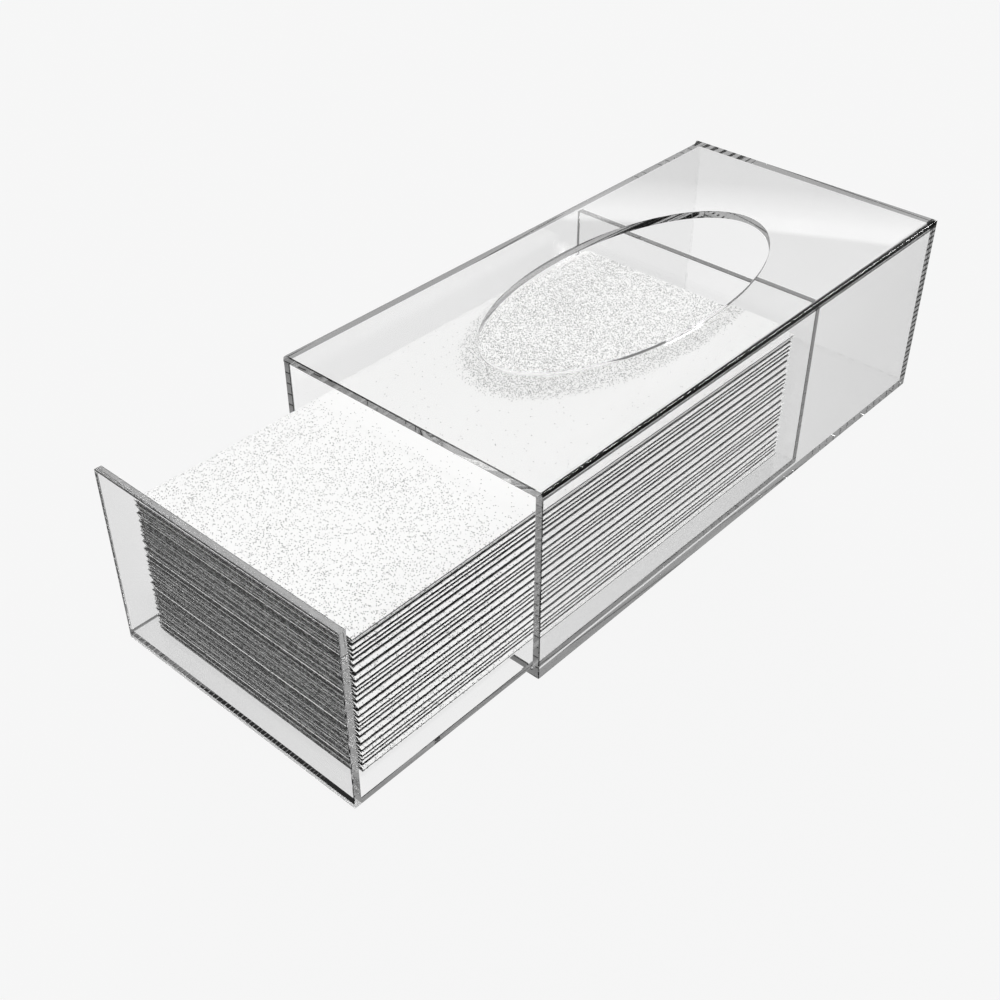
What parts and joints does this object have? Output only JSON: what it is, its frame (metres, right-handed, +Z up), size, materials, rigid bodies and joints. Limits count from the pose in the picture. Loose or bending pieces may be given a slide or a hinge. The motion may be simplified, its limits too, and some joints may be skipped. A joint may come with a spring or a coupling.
{
  "type": "tissue box",
  "caption": "Clear acrylic tissue box: a sleeve with an oval opening in its roof and an open front, and a sliding drawer that carries a stack of interfolded tissues.",
  "frame": {"origin": "on the table surface, under the middle of the sleeve's bottom panel", "axes": "+X across the box to the right seen from its open front, -Y towards the open front where the drawer pulls out, +Z up"},
  "size_m": [0.121, 0.3324, 0.08],
  "materials": {
    "clear_acrylic": "clear, polished faces and edges",
    "tissue_paper": "soft, matt, unprinted white"
  },
  "bodies": {
    "sleeve": {"sleeve_top_panel": "clear_acrylic", "sleeve_bottom_panel": "clear_acrylic", "sleeve_left_panel": "clear_acrylic", "sleeve_right_panel": "clear_acrylic", "sleeve_back_panel": "clear_acrylic"},
    "drawer": {"drawer_front_panel": "clear_acrylic", "drawer_base_panel": "clear_acrylic", "drawer_back_panel": "clear_acrylic", "tissue_01": "tissue_paper", "tissue_02": "tissue_paper", "tissue_03": "tissue_paper", "tissue_04": "tissue_paper", "tissue_05": "tissue_paper", "tissue_06": "tissue_paper", "tissue_07": "tissue_paper", "tissue_08": "tissue_paper", "tissue_09": "tissue_paper", "tissue_10": "tissue_paper", "tissue_11": "tissue_paper", "tissue_12": "tissue_paper", "tissue_13": "tissue_paper", "tissue_14": "tissue_paper", "tissue_15": "tissue_paper", "tissue_16": "tissue_paper", "tissue_17": "tissue_paper", "tissue_18": "tissue_paper", "tissue_19": "tissue_paper", "tissue_20": "tissue_paper", "tissue_21": "tissue_paper", "tissue_22": "tissue_paper", "tissue_23": "tissue_paper", "tissue_24": "tissue_paper", "tissue_25": "tissue_paper", "tissue_26": "tissue_paper", "tissue_27": "tissue_paper", "tissue_28": "tissue_paper", "tissue_29": "tissue_paper", "tissue_30": "tissue_paper", "tissue_31": "tissue_paper", "tissue_32": "tissue_paper", "tissue_33": "tissue_paper", "tissue_34": "tissue_paper", "tissue_35": "tissue_paper", "tissue_36": "tissue_paper", "tissue_37": "tissue_paper", "tissue_38": "tissue_paper", "tissue_39": "tissue_paper", "tissue_40": "tissue_paper", "tissue_41": "tissue_paper", "tissue_42": "tissue_paper", "tissue_43": "tissue_paper", "tissue_44": "tissue_paper", "tissue_45": "tissue_paper", "tissue_46": "tissue_paper"}
  },
  "joints": [
    {"name": "drawer_slide", "type": "slide", "parent": "sleeve", "child": "drawer", "axis": [0, -1, 0], "range_m": [-0.0824, 0.16]}
  ]
}
